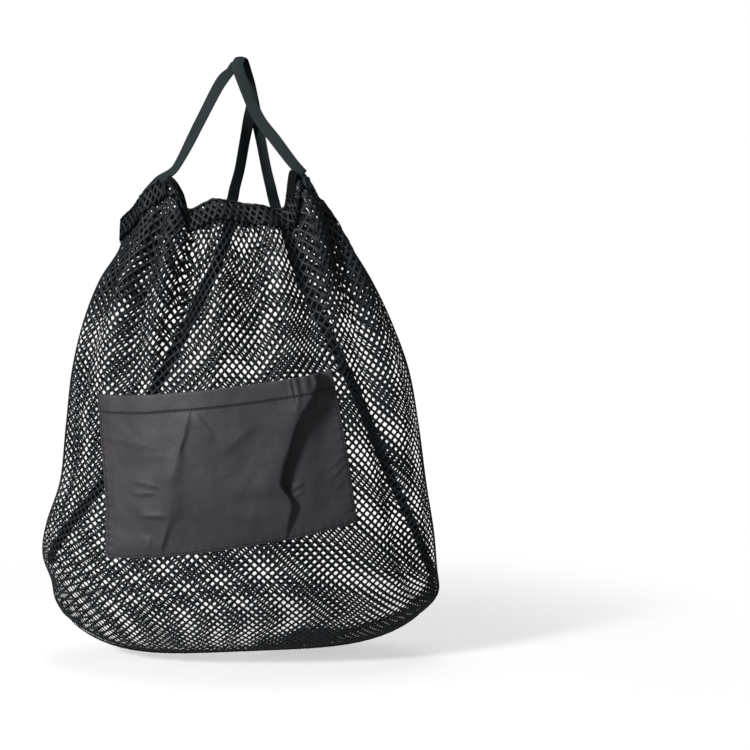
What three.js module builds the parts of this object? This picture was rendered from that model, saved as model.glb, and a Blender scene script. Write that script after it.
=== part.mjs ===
// A mesh tote bag hung up by its straps: two mesh panels sewn into a sack, a gathered
// casing round the mouth, two webbing straps that run in it and a nylon patch pocket.
// Millimetres, +Z up, +X to the right and -Y to the front. The origin is the hang point,
// under the straps where a hook or a hand holds them.
import * as THREE from "three";

// Driving dimensions
const MESH_WALL = 1.5;
const SEAM_GAP = 0.4;
const CASING_HEIGHT = 18;
const CASING_LEAF = 1.2;
const CASING_SEAM_GAP = 1.5;
const CASING_CHANNEL = 2.8;
const WEBBING_WIDTH = 11;
const WEBBING_THICK = 1.4;
const WEBBING_CLEARANCE = 0.6;
const HOOK_RADIUS = 3;
const NYLON_WALL = 1.4;
const POCKET_HEM_WALL = 2.2;
const POCKET_HEM_SHARE = 0.095; // of the pocket's height
const POCKET_STANDOFF = 0.9;
const POCKET_BULGE = 12;
const SEAM_WELT_WIDTH = 2;
const SEAM_WELT_DROP = 2;
const SEAM_WELT_REACH = 0.95; // of the panel's width

// How finely the soft walls are faceted
const PANEL_COLUMNS = 52;
const PANEL_ROWS = 16;
const POCKET_LEFT_COLUMNS = 17;
const POCKET_RIGHT_COLUMNS = 4;
const POCKET_ROWS = 8;
const WELT_STEPS = 30;
const BACK_RUN_STEPS = 16;
const STRAP_STEPS = 60;

// Sections of the sack from the mouth down to the bottom seam. along is the distance down
// the cloth, midZ, leftZ and rightZ the heights of the row at its middle and at the two side
// seams, tilt how far the row's middle runs up to the right, liftPower how late a row rises
// towards its side seams, gather the height of the drawn-up folds, and crown the share of the
// ears' rise.
const SECTION_COLUMNS = [
  "along", "midZ", "leftZ", "rightZ", "tilt", "liftPower", "centreX", "halfWidth", "halfDepth",
  "gather", "crown",
];
const SECTIONS = [
  [0, -156, -153, -154, 0, 3.5, -11.5, 99.5, 48, 3, 1],
  [25, -181, -180, -181, 0, 3.5, -3.5, 110, 57, 5, 0.95],
  [60, -215, -209, -209, 0, 3.5, -4, 128, 70, 9, 0.6],
  [100, -253, -246, -246, 0, 3.5, -3, 145, 81, 7, 0.25],
  [150, -302, -293, -293, 0, 3.5, -0.5, 159.5, 90, 3.5, 0],
  [205, -356, -346, -346, 0, 3.5, 1, 167.5, 96, 1.5, 0],
  [265, -416, -401, -403, 0, 3.5, 1.5, 174.5, 100, 0.5, 0],
  [320, -469, -442, -451, 0, 3.5, -1.5, 185, 98, 0, 0],
  [365, -511, -470, -486, 2, 3.5, -2, 188.5, 87, 0, 0],
  [410, -544, -496, -505, 4.5, 4, 3, 185, 60, 0, 0],
  [440, -558, -515, -515, 6, 4.5, 4.5, 180.5, 32, 0, 0],
  [470, -565, -528, -518, 7, 5, 5, 172.5, 0.3, 0, 0],
].map((row) => named(SECTION_COLUMNS, row));
const CLOTH_LENGTH = SECTIONS.at(-1).along;

// How far the front rim rises over the sides of the mouth. reach runs from -1 at the left
// side to 1 at the right; the two peaks are the ears that the straps pull up.
const CROWN = [
  [-1, 3], [-0.95, 11], [-0.87, 22], [-0.76, 34], [-0.68, 45], [-0.62, 51], [-0.52, 51], [-0.45, 37],
  [-0.375, 19], [-0.26, 25], [-0.12, 31], [0.12, 29], [0.44, 21], [0.54, 22], [0.575, 36], [0.6, 56],
  [0.73, 56], [0.76, 47], [0.78, 38], [0.855, 26], [0.92, 15], [1, 2],
].map((row) => named(["reach", "rise"], row));
const BACK_RIM_RISE = 12;
// Where the ears lie: the end of the back casing, of the webbing's run in it, and of the front casing
const LEFT_EAR = { casing: -0.69, webbing: -0.64, front: -0.54 };
const RIGHT_EAR = { casing: 0.775, webbing: 0.74, front: 0.615 };

// Gathers of one panel, counted across it
const GATHERS = 7;

// Long folds that run down the sack. at and endAt are places across the panel, from -1 at the
// left seam to 1 at the right one, and depth is how far the cloth dips inwards.
const FOLD_COLUMNS = ["side", "at", "endAt", "from", "to", "halfWidth", "depth"];
const FOLDS = [
  [-1, -0.2, -0.42, 20, 165, 0.06, 8],
  [-1, 0.05, 0.3, 20, 150, 0.06, 7],
  [-1, 0.5, 0.82, 30, 400, 0.06, 8],
  [-1, -0.8, -0.94, 30, 370, 0.05, 9],
  [1, -0.5, -0.62, 40, 300, 0.08, 6],
  [1, 0.08, 0.02, 30, 230, 0.08, 6],
  [1, 0.55, 0.7, 40, 350, 0.08, 7],
].map((row) => named(FOLD_COLUMNS, row));

// Corners of the pocket on the front panel: place across it, and distance down the cloth
const POCKET_TOP_LEFT = { across: -0.677, along: 159.5 };
const POCKET_TOP_RIGHT = { across: 0.459, along: 132.5 };
const POCKET_LOW_LEFT = { across: -0.558, along: 317 };
const POCKET_LOW_RIGHT = { across: 0.504, along: 277 };

// The pocket's big fold, from its top right corner to its lower edge, at shares of the pocket's
// height and width. The cloth bulges on the left of it, with that much extra lift along the
// fold, and lies flat on the right.
const POCKET_FOLD = [
  [0, 0.95, 0],
  [0.18, 0.915, 0],
  [0.35, 0.85, 0],
  [0.585, 0.79, 1.5],
  [0.69, 0.765, 1],
  [0.78, 0.76, 3],
  [1, 0.72, 0],
].map((row) => named(["v", "u", "lift"], row));
const POCKET_FOLD_HALF_WIDTH = 0.024; // of the pocket's width
const POCKET_FOLD_LIFT_REACH = 0.085;
const POCKET_LEFT_RISE = 0.4; // share of the width over which the bulge rises
const POCKET_CORNER_FALL = 0.11; // share of the width over which it falls to the right edge
const POCKET_FLAT_HEIGHT = 1.5;

const FRONT = -1;
const BACK = 1;
const MESH_BLACK = { color: 0x1b1e21, roughness: 0.7, metalness: 0 };
const WEBBING_BLACK = { color: 0x2a3133, roughness: 0.8, metalness: 0 };
const NYLON_GREY = { color: 0x3c383c, roughness: 0.45, metalness: 0 };

// A table row as an object whose fields have the columns' names
function named(columns, row) {
  return Object.fromEntries(columns.map((name, i) => [name, row[i]]));
}

// Smooth reading of the section table at a distance down the cloth
function sectionAt(along) {
  const last = SECTIONS.length - 2;
  let i = 0;
  while (i < last && along > SECTIONS[i + 1].along) i += 1;
  const span = SECTIONS[i + 1].along - SECTIONS[i].along;
  const t = (along - SECTIONS[i].along) / span;
  const slope = (name, k) => {
    const before = SECTIONS[Math.max(k - 1, 0)];
    const after = SECTIONS[Math.min(k + 1, SECTIONS.length - 1)];
    return (after[name] - before[name]) / (after.along - before.along);
  };
  const section = {};
  for (const name of SECTION_COLUMNS) {
    const bend = {
      start: slope(name, i) * span,
      end: slope(name, i + 1) * span,
    };
    section[name] =
      (2 * t ** 3 - 3 * t ** 2 + 1) * SECTIONS[i][name] +
      (t ** 3 - 2 * t ** 2 + t) * bend.start +
      (3 * t ** 2 - 2 * t ** 3) * SECTIONS[i + 1][name] +
      (t ** 3 - t ** 2) * bend.end;
  }
  return section;
}

// Angle round a half oval at an even share of its length
function evenAngle(share, halfWidth, halfDepth, steps = 60) {
  const lengths = [0];
  for (let i = 1; i <= steps; i++) {
    const middle = (Math.PI * (i - 0.5)) / steps;
    const step = Math.hypot(halfWidth * Math.sin(middle), halfDepth * Math.cos(middle));
    lengths.push(lengths[i - 1] + step);
  }
  const wanted = share * lengths[steps];
  let i = 0;
  while (i < steps - 1 && lengths[i + 1] < wanted) i += 1;
  return (Math.PI * (i + (wanted - lengths[i]) / (lengths[i + 1] - lengths[i]))) / steps;
}

// How far along the width of the mouth a place across the cloth lies, from -1 to 1
function reachAt(across, section) {
  return -Math.cos(evenAngle((across + 1) / 2, section.halfWidth, section.halfDepth));
}

// Rise of the rim over the sides of the mouth
function crownRise(side, reach) {
  if (side === BACK) return BACK_RIM_RISE * (1 - reach ** 2);
  let i = 0;
  while (i < CROWN.length - 2 && reach > CROWN[i + 1].reach) i += 1;
  const t = (reach - CROWN[i].reach) / (CROWN[i + 1].reach - CROWN[i].reach);
  return THREE.MathUtils.lerp(CROWN[i].rise, CROWN[i + 1].rise, t);
}

// The sack without its gathers and folds. across runs from -1 at the left seam to 1 at the right.
function plainSack(side, across, along) {
  const s = sectionAt(along);
  const angle = evenAngle((across + 1) / 2, s.halfWidth, s.halfDepth);
  const reach = -Math.cos(angle);
  const sideZ = reach < 0 ? s.leftZ : s.rightZ;
  const sideLift = sideZ - s.midZ - s.tilt * Math.sign(reach);
  const rowZ = s.midZ + s.tilt * reach + sideLift * Math.abs(reach) ** s.liftPower;
  return new THREE.Vector3(
    s.centreX + s.halfWidth * reach,
    side * (s.halfDepth * Math.sin(angle) + SEAM_GAP / 2),
    rowZ + s.crown * crownRise(side, reach),
  );
}

// Outward direction of a surface that is given as a function of side, across and along
function outward(surface, side, across, along, stepAcross = 0.01, stepAlong = 1) {
  const left = surface(side, Math.max(across - stepAcross, -1), along);
  const right = surface(side, Math.min(across + stepAcross, 1), along);
  const up = surface(side, across, Math.max(along - stepAlong, 0));
  const down = surface(side, across, Math.min(along + stepAlong, CLOTH_LENGTH));
  return right.sub(left).cross(down.sub(up)).multiplyScalar(side).normalize();
}

// Height of the gathers and long folds over the plain sack
function foldHeight(side, across, along) {
  const turn = Math.PI * (across + 1);
  const wander = 0.9 * Math.sin(turn) + 0.5 * side * Math.sin(2 * turn);
  const swell = (1 + 0.3 * side * Math.sin(3 * turn)) * (1 - across ** 4);
  let height = sectionAt(along).gather * swell * Math.sin(GATHERS * turn + wander);
  for (const fold of FOLDS) {
    if (fold.side !== side || along < fold.from || along > fold.to) continue;
    const way = (along - fold.from) / (fold.to - fold.from);
    const place = THREE.MathUtils.lerp(fold.at, fold.endAt, way);
    const fade = Math.sin(Math.PI * way);
    height -= fold.depth * fade * Math.exp(-(((across - place) / fold.halfWidth) ** 2));
  }
  return height;
}

// The sack as it hangs, with its gathers and folds
function sack(side, across, along) {
  return plainSack(side, across, along).addScaledVector(
    outward(plainSack, side, across, along),
    foldHeight(side, across, along),
  );
}

// A point that stands off the sack, outwards if height is above 0
function offSack(side, across, along, height) {
  return sack(side, across, along).addScaledVector(outward(sack, side, across, along), height);
}

// Triangles of a flat outline, turning the same way round as the outline does
function capOf(outline) {
  const turning = Math.sign(THREE.ShapeUtils.area(outline));
  return THREE.ShapeUtils.triangulateShape(outline, []).map((corners) => {
    const same = Math.sign(THREE.ShapeUtils.area(corners.map((i) => outline[i]))) === turning;
    return same ? corners : [...corners].reverse();
  });
}

// Triangles across the edge of a wall, from each row of its outer face to that of its inner one
function wallCap(outline) {
  const last = outline.length - 1;
  const triangles = [];
  for (let i = 0; 2 * i < last - 1; i++) {
    triangles.push([i, i + 1, last - i], [i + 1, last - i - 1, last - i]);
  }
  return triangles;
}

// A closed solid through a row of rings, with the same triangles as a cap at both ends
function solidThrough(rings, cap) {
  const count = rings[0].length;
  const index = [];
  for (let i = 0; i < rings.length - 1; i++) {
    const here = i * count;
    const next = here + count;
    for (let j = 0; j < count; j++) {
      const k = (j + 1) % count;
      index.push(here + j, next + j, next + k, here + j, next + k, here + k);
    }
  }
  const end = (rings.length - 1) * count;
  for (const [a, b, c] of cap) {
    index.push(a, b, c, end + a, end + c, end + b);
  }
  const points = rings.flat();
  let volume = 0;
  for (let i = 0; i < index.length; i += 3) {
    const [a, b, c] = [points[index[i]], points[index[i + 1]], points[index[i + 2]]];
    volume += a.dot(new THREE.Vector3().crossVectors(b, c));
  }
  if (volume < 0) index.reverse();
  const geometry = new THREE.BufferGeometry().setFromPoints(points).setIndex(index);
  geometry.computeVertexNormals();
  return geometry;
}

function piece(name, geometry, finish) {
  const mesh = new THREE.Mesh(geometry, new THREE.MeshStandardMaterial(finish));
  mesh.name = name;
  return mesh;
}

// Evenly spaced numbers from first to last
function spaced(first, last, steps) {
  return Array.from({ length: steps + 1 }, (_, i) => first + ((last - first) * i) / steps);
}

// Outline of a wall, down its outer face and up its inner one: x along the cloth, y its height
function wallOutline(alongs, outer, inner) {
  return [
    ...alongs.map((along) => new THREE.Vector2(along, outer)),
    ...[...alongs].reverse().map((along) => new THREE.Vector2(along, inner)),
  ];
}

// A mesh panel, from under the casing to the bottom seam
function meshPanel(name, side) {
  const outline = wallOutline(
    spaced(CASING_HEIGHT + CASING_SEAM_GAP, CLOTH_LENGTH, PANEL_ROWS), 0, -MESH_WALL,
  );
  const rings = spaced(-1, 1, PANEL_COLUMNS).map((across) =>
    outline.map(({ x, y }) => {
      const point = offSack(side, across, x, y);
      point.y = side * Math.max(side * point.y, SEAM_GAP / 2);
      return point;
    }),
  );
  return piece(name, solidThrough(rings, wallCap(outline)), MESH_BLACK);
}

// Places round the mouth, in the order that the casing and the webbing run through them
function mouthStations(side, from, to) {
  const places = spaced(-1, 1, PANEL_COLUMNS).filter((across) => {
    const reach = reachAt(across, SECTIONS[0]);
    return reach >= Math.min(from, to) && reach <= Math.max(from, to);
  });
  return (from < to ? places : places.reverse()).map((across) => ({ side, across }));
}

// A point of the casing or of the webbing in it. Both are straight from the rim to the
// casing's lower edge, and height is counted outwards from the middle of the channel.
function atMouth(side, across, along, height) {
  const rim = sack(side, across, 0);
  const lower = sack(side, across, CASING_HEIGHT);
  const out = outward(sack, side, across, CASING_HEIGHT / 2);
  if (Math.abs(across) === 1) out.setY(0).normalize();
  return rim.lerp(lower, along / CASING_HEIGHT).addScaledVector(out, height);
}

// A length of casing: the top of the cloth folded over into a channel that is open below
function casing(name, stations) {
  const inside = CASING_CHANNEL / 2;
  const outside = inside + CASING_LEAF;
  const outline = [
    [CASING_HEIGHT, outside],
    [CASING_LEAF, outside],
    [0, inside],
    [0, -inside],
    [CASING_LEAF, -outside],
    [CASING_HEIGHT, -outside],
    [CASING_HEIGHT, -inside],
    [CASING_LEAF, -inside],
    [CASING_LEAF, inside],
    [CASING_HEIGHT, inside],
  ].map(([along, height]) => new THREE.Vector2(along, height));
  const rings = stations.map(({ side, across }) =>
    outline.map(({ x, y }) => atMouth(side, across, x, y)),
  );
  return piece(name, solidThrough(rings, capOf(outline)), MESH_BLACK);
}

// A webbing strap: a run through the casing, and then stations that each have a middle point
// and the way the webbing's face looks
function strap(name, casingRun, stations) {
  const half = { width: WEBBING_WIDTH / 2, thick: WEBBING_THICK / 2 };
  const outline = [
    new THREE.Vector2(-half.width, -half.thick),
    new THREE.Vector2(half.width, -half.thick),
    new THREE.Vector2(half.width, half.thick),
    new THREE.Vector2(-half.width, half.thick),
  ];
  const lengthwise = casingRun[0].across < casingRun.at(-1).across ? -1 : 1;
  const casingRings = casingRun.map(({ side, across }) =>
    outline.map(({ x, y }) => atMouth(side, across, CASING_HEIGHT / 2 + lengthwise * x, y)),
  );
  const path = new THREE.CatmullRomCurve3(stations.map(({ point }) => point), false, "centripetal");
  const spans = stations.length - 1;
  const freeRings = spaced(0, 1, STRAP_STEPS).map((t) => {
    const i = Math.min(Math.floor(t * spans), spans - 1);
    const face = stations[i].face.clone().lerp(stations[i + 1].face, t * spans - i);
    const run = path.getTangent(t);
    const across = new THREE.Vector3().crossVectors(run, face).normalize();
    const out = new THREE.Vector3().crossVectors(across, run);
    return outline.map(({ x, y }) =>
      path.getPoint(t).addScaledVector(across, x).addScaledVector(out, y),
    );
  });
  return piece(name, solidThrough([...casingRings, ...freeRings], capOf(outline)), WEBBING_BLACK);
}

// The turn of a strap over the hook, from the front to the back
function hookStations(layer, x) {
  const radius = HOOK_RADIUS + WEBBING_THICK / 2 + layer * (WEBBING_THICK + 2 * WEBBING_CLEARANCE);
  const reach = 80;
  return spaced(-reach, reach, 4).map((degrees) => {
    const angle = THREE.MathUtils.degToRad(degrees);
    const face = new THREE.Vector3(0, Math.sin(angle), Math.cos(angle));
    const place = THREE.MathUtils.lerp(x.front, x.back, (degrees + reach) / (2 * reach));
    const middle = new THREE.Vector3(place, 0, -HOOK_RADIUS);
    return { point: middle.addScaledVector(face, radius), face };
  });
}

// A strap's run down the back panel: place across it, distance down it and height over it
function backStations(rows) {
  const run = new THREE.CatmullRomCurve3(rows.map((row) => new THREE.Vector3(...row)));
  return spaced(0, 1, BACK_RUN_STEPS).map((t) => {
    const { x: across, y: along, z: height } = run.getPoint(t);
    const face = outward(plainSack, BACK, across, along);
    return { point: plainSack(BACK, across, along).addScaledVector(face, height), face };
  });
}

// A strap's free run in the air: x, y and z of its middle, and the way its face looks
function freeStations(rows) {
  return rows.map(([x, y, z, ...face]) => ({
    point: new THREE.Vector3(x, y, z),
    face: new THREE.Vector3(...face).normalize(),
  }));
}

const LEFT_CASING_RUN = [
  ...mouthStations(BACK, -0.02, -1),
  ...mouthStations(FRONT, -1, LEFT_EAR.webbing),
];
const RIGHT_CASING_RUN = [
  ...mouthStations(BACK, 0.02, 1),
  ...mouthStations(FRONT, 1, RIGHT_EAR.webbing),
];

function strapLeft() {
  return strap("strap_left", LEFT_CASING_RUN, [
    ...freeStations([
      [-61, -38, -99.5, -0.5, -1, 0.3],
      [-54.5, -35, -90, -0.5, -1, 0.3],
      [-35.5, -22.5, -53.5, -0.5, -1, 0.3],
      [-16, -7, -17, -0.2, -1, 0.2],
    ]),
    ...hookStations(0, { front: -5.5, back: 1 }),
    ...freeStations([
      [5, 5, -16, 0, 1, 0],
      [9.5, 8, -36, 0, 1, 0.1],
      [6.2, 16, -58, -0.2, 1, 0.1],
      [3.5, 26, -80, -0.5, 1, 0.2],
      [-1.6, 37, -107, -0.5, 1, 0.2],
      [-6.7, 48, -126, -0.3, 1, 0.4],
      [-9, 58, -137, -0.1, 1, 0.6],
    ]),
    ...backStations([
      [-0.04, 12, 16],
      [-0.13, 60, 16],
      [-0.28, 120, 12],
      [-0.45, 190, 7],
      [-0.62, 260, 4],
      [-0.78, 325, 3],
      [-0.9, 380, 3],
    ]),
  ]);
}

function strapRight() {
  return strap("strap_right", RIGHT_CASING_RUN, [
    ...freeStations([
      [60, -38, -103, 0.2, -1, 0.1],
      [54, -37.5, -96.5, 0.2, -1, 0.1],
      [48, -35, -89.5, 0.1, -1, 0.1],
      [34, -29, -71.5, 0, -1, 0.1],
      [19.5, -22.5, -53.5, 0, -1, 0.1],
      [6.5, -15, -26, 0, -1, 0.2],
    ]),
    ...hookStations(1, { front: -1.5, back: 4 }),
    ...freeStations([
      [7.5, 8, -15, 0, 1, 0],
      [12, 14.5, -38, 0, 1, 0.1],
      [15.5, 24, -58, 0.2, 1, 0.1],
      [19.5, 31, -81, 0.5, 1, 0.2],
      [24, 40, -107, 0.5, 1, 0.2],
      [28, 48, -126, 0.3, 1, 0.4],
      [30, 58, -137, 0.2, 1, 0.6],
    ]),
    ...backStations([
      [0.3, 12, 16],
      [0.33, 60, 16],
      [0.42, 120, 12],
      [0.54, 190, 7],
      [0.66, 260, 4],
      [0.79, 325, 3],
      [0.9, 380, 3],
    ]),
  ]);
}

// The fold's row at a share of the pocket's height
function pocketFoldAt(v) {
  let i = 0;
  while (i < POCKET_FOLD.length - 2 && v > POCKET_FOLD[i + 1].v) i += 1;
  const [above, below] = POCKET_FOLD.slice(i, i + 2);
  const share = (v - above.v) / (below.v - above.v);
  return {
    u: THREE.MathUtils.lerp(above.u, below.u, share),
    lift: THREE.MathUtils.lerp(above.lift, below.lift, share),
  };
}

// How far the cloth on the left of the fold stands off the bag
function pocketBulge(u, v, fold) {
  const leftRise = Math.sin((Math.PI / 2) * Math.min(u / POCKET_LEFT_RISE, 1)) ** 0.9;
  const upright = Math.sin((Math.PI * (1 - v)) / 2) ** 1.1;
  const cornerFall = THREE.MathUtils.smoothstep(1 - u, 0, POCKET_CORNER_FALL);
  const lift = fold.lift * Math.exp(-(((u - fold.u) / POCKET_FOLD_LIFT_REACH) ** 2));
  return POCKET_BULGE * leftRise * upright * cornerFall + lift;
}

// A point of the pocket: share runs across one side of the fold, v from the mouth to the lower edge
function pocketPoint(onLeft, share, v, height) {
  const fold = pocketFoldAt(v);
  const u = onLeft
    ? share * (fold.u - POCKET_FOLD_HALF_WIDTH)
    : THREE.MathUtils.lerp(fold.u + POCKET_FOLD_HALF_WIDTH, 1, share);
  const read = (name) =>
    THREE.MathUtils.lerp(
      THREE.MathUtils.lerp(POCKET_TOP_LEFT[name], POCKET_TOP_RIGHT[name], u),
      THREE.MathUtils.lerp(POCKET_LOW_LEFT[name], POCKET_LOW_RIGHT[name], u),
      v,
    );
  const flat = POCKET_FLAT_HEIGHT * (1 - share) * (1 - v);
  const off = onLeft ? pocketBulge(u, v, fold) : flat;
  return offSack(FRONT, read("across"), read("along"), POCKET_STANDOFF + off + height);
}

function pocketPart(name, from, to, rows, wall) {
  const outline = wallOutline(spaced(from, to, rows), wall, 0);
  const side = (onLeft, columns) =>
    spaced(0, 1, columns).map((share) => outline.map(({ x, y }) => pocketPoint(onLeft, share, x, y)));
  const rings = [...side(true, POCKET_LEFT_COLUMNS), ...side(false, POCKET_RIGHT_COLUMNS)];
  return piece(name, solidThrough(rings, wallCap(outline)), NYLON_GREY);
}

// The raised seam that joins the two panels along the bottom
function bottomSeam() {
  const half = SEAM_WELT_WIDTH / 2;
  const outline = [
    new THREE.Vector2(-half, -SEAM_GAP),
    new THREE.Vector2(half, -SEAM_GAP),
    new THREE.Vector2(half, -SEAM_GAP - SEAM_WELT_DROP),
    new THREE.Vector2(-half, -SEAM_GAP - SEAM_WELT_DROP),
  ];
  const rings = spaced(-SEAM_WELT_REACH, SEAM_WELT_REACH, WELT_STEPS).map((across) => {
    const point = plainSack(FRONT, across, CLOTH_LENGTH).setY(0);
    const down = outward(plainSack, FRONT, across, CLOTH_LENGTH).setY(0).normalize();
    return outline.map(({ x, y }) =>
      point.clone().addScaledVector(down, -y).add(new THREE.Vector3(0, x, 0)),
    );
  });
  return piece("bottom_seam", solidThrough(rings, capOf(outline)), MESH_BLACK);
}

const bag = new THREE.Group();
bag.add(
  meshPanel("mesh_front", FRONT),
  meshPanel("mesh_back", BACK),
  casing("casing_front", mouthStations(FRONT, LEFT_EAR.front, RIGHT_EAR.front)),
  casing("casing_back", [
    ...mouthStations(FRONT, LEFT_EAR.casing, -1),
    ...mouthStations(BACK, -1, 1),
    ...mouthStations(FRONT, 1, RIGHT_EAR.casing),
  ]),
  strapLeft(),
  strapRight(),
  pocketPart("pocket_hem", 0, POCKET_HEM_SHARE, 1, POCKET_HEM_WALL),
  pocketPart("pocket_panel", POCKET_HEM_SHARE + 0.003, 1, POCKET_ROWS, NYLON_WALL),
  bottomSeam(),
);

export default bag;
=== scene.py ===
"""A black mesh tote bag hung up by its webbing straps.

The frame is the part's own: metres, +Z up, +X to the right, -Y to the front, and the origin at
the hang point. Sizes in the tables are millimetres, and MM turns them into metres at the end.
Every piece is laid out flat first, as it was cut, and is then led to its place on the bag.
"""
import math

import bmesh
import bpy
import numpy as np
from mathutils import Matrix, Vector


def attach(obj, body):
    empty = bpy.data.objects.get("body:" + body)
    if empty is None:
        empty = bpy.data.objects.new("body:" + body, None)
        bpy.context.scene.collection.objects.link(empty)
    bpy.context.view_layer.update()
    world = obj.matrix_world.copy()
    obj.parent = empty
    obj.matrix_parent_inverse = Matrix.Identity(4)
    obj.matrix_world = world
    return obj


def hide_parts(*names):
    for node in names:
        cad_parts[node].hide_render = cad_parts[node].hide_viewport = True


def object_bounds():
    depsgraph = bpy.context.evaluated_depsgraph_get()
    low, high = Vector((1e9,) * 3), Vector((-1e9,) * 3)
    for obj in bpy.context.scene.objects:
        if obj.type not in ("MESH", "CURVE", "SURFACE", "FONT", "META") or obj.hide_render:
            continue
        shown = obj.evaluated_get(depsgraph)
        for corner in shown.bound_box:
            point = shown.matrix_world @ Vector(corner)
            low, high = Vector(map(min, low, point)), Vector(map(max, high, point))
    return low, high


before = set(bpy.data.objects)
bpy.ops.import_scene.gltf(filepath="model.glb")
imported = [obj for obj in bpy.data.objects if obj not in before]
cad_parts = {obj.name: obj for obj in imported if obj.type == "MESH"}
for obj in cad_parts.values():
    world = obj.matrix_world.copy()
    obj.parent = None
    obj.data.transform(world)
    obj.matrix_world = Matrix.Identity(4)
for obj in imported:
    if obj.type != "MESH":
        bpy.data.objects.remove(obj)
cad_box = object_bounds()

MM = 0.001
FRONT, BACK = -1, 1

# The mesh cloth: a net of crossing strands
CLOTH_WIDTH = 457
CLOTH_LENGTH = 470
STRAND_SPACING = 6.1
STRAND_WIDTH = 2
STRAND_HALF_THICK = 0.45
HOLE_ROUNDING = 0.88
NET_TILT = math.radians(3)
SEAM_GAP = 0.4
SIDE_SEAM_WIDTH = 2.6

# The casing round the mouth and the webbing
CASING_HEIGHT = 18
CASING_HALF_GAP = 1.9
FRONT_FULLNESS = 1.3
BACK_FULLNESS = 1.5
GATHER_PITCH = 10
GATHER_HEIGHT = 1.1
CASING_OVERLAP = 4
WEBBING_WIDTH = 11
WEBBING_THICK = 1.4
WEBBING_CLEARANCE = 0.6
RIB_PITCH = 1.6
HOOK_RADIUS = 3

# The pocket and the bottom seam
NYLON_THICK = 0.8
POCKET_WIDTH = 236
POCKET_HEIGHT = 152
POCKET_HEM_SHARE = 0.095
POCKET_HEM_THICK = 1.8
POCKET_STANDOFF = 0.9
POCKET_BULGE = 12
SEAM_WELT_WIDTH = 2
SEAM_WELT_DROP = 2
SEAM_WELT_REACH = 0.95


def columns(names, rows):
    """A table's columns by name."""
    return {name: np.array(values, float) for name, values in zip(names, zip(*rows))}


# Sections of the sack from the mouth down to the bottom seam
SECTIONS = columns(
    (
        "along", "mid_z", "left_z", "right_z", "tilt", "lift_power", "centre_x", "half_width",
        "half_depth", "gather", "crown",
    ),
    (
        (0, -156, -153, -154, 0, 3.5, -11.5, 99.5, 48, 3, 1),
        (25, -181, -180, -181, 0, 3.5, -3.5, 110, 57, 5, 0.95),
        (60, -215, -209, -209, 0, 3.5, -4, 128, 70, 9, 0.6),
        (100, -253, -246, -246, 0, 3.5, -3, 145, 81, 7, 0.25),
        (150, -302, -293, -293, 0, 3.5, -0.5, 159.5, 90, 3.5, 0),
        (205, -356, -346, -346, 0, 3.5, 1, 167.5, 96, 1.5, 0),
        (265, -416, -401, -403, 0, 3.5, 1.5, 174.5, 100, 0.5, 0),
        (320, -469, -442, -451, 0, 3.5, -1.5, 185, 98, 0, 0),
        (365, -511, -470, -486, 2, 3.5, -2, 188.5, 87, 0, 0),
        (410, -544, -496, -505, 4.5, 4, 3, 185.5, 60, 0, 0),
        (440, -558, -515, -515, 6, 4.2, 3, 182, 32, 0, 0),
        (470, -565, -530, -524, 7, 4.2, 3, 174.5, 0.3, 0, 0),
    ),
)

# Rise of the front rim over the sides of the mouth
CROWN = columns(
    ("reach", "rise"),
    (
        (-1, 3), (-0.95, 11), (-0.87, 22), (-0.76, 34), (-0.68, 45), (-0.62, 51), (-0.52, 51),
        (-0.45, 37), (-0.375, 19), (-0.26, 25), (-0.12, 31), (0.12, 29), (0.44, 21), (0.54, 22),
        (0.575, 36), (0.6, 56), (0.73, 56), (0.76, 47), (0.78, 38), (0.855, 26), (0.92, 15), (1, 2),
    ),
)
BACK_RIM_RISE = 12
# Where the ears lie along the width: the end of the back casing's fold and of the webbing's run
# in it, the end of the front casing, and both ends of the band along the ear's inner edge
LEFT_EAR = {"casing": -0.65, "front": -0.54, "peak": -0.525, "notch": -0.37}
RIGHT_EAR = {"casing": 0.745, "front": 0.615, "peak": 0.605, "notch": 0.565}

# Gathers of a panel: how many, how they wander sideways, and how unevenly they swell
GATHERS = 7
GATHER_WANDER = (0.9, 0.5)
GATHER_SWELL = 0.3
# Small gathers: how many, how high at the casing, and how far down they reach
FINE_GATHERS = columns(("count", "height", "reach_down"), ((16, 2.2, 95), (33, 0.9, 45)))
FINE_WANDER = (1.6, 1.1)
FINE_DRIFT = 0.02
FINE_SWELL = 0.3
FINE_FADE = 1.5

# Long folds that run down the sack
FOLDS = columns(
    ("side", "at", "end_at", "start", "end", "half_width", "depth"),
    (
        (-1, -0.2, -0.42, 20, 165, 0.06, 8),
        (-1, 0.05, 0.3, 20, 150, 0.06, 7),
        (-1, 0.5, 0.82, 30, 400, 0.06, 8),
        (-1, -0.8, -0.94, 30, 370, 0.05, 9),
        (1, -0.5, -0.62, 40, 300, 0.08, 6),
        (1, 0.08, 0.02, 30, 230, 0.08, 6),
        (1, 0.55, 0.7, 40, 350, 0.08, 7),
    ),
)

# Corners of the pocket on the front panel: place across it, and distance down the cloth
POCKET_CORNERS = columns(
    ("across", "along"), ((-0.677, 159.5), (0.459, 132.5), (-0.558, 317), (0.504, 277))
)


def unit(vectors):
    return vectors / np.linalg.norm(vectors, axis=-1, keepdims=True)


def smooth_step(share):
    share = np.clip(share, 0, 1)
    return share * share * (3 - 2 * share)


def share_between(ends, value):
    """How far a value is on the way from one end to the other, eased at both."""
    return smooth_step((value - ends[0]) / (ends[1] - ends[0]))


def hermite(t, first, first_slope, last, last_slope):
    """A curve from one value to another, with its slopes at both. t runs from 0 to 1."""
    return (
        (2 * t**3 - 3 * t**2 + 1) * first
        + (t**3 - 2 * t**2 + t) * first_slope
        + (3 * t**2 - 2 * t**3) * last
        + (t**3 - t**2) * last_slope
    )


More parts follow.
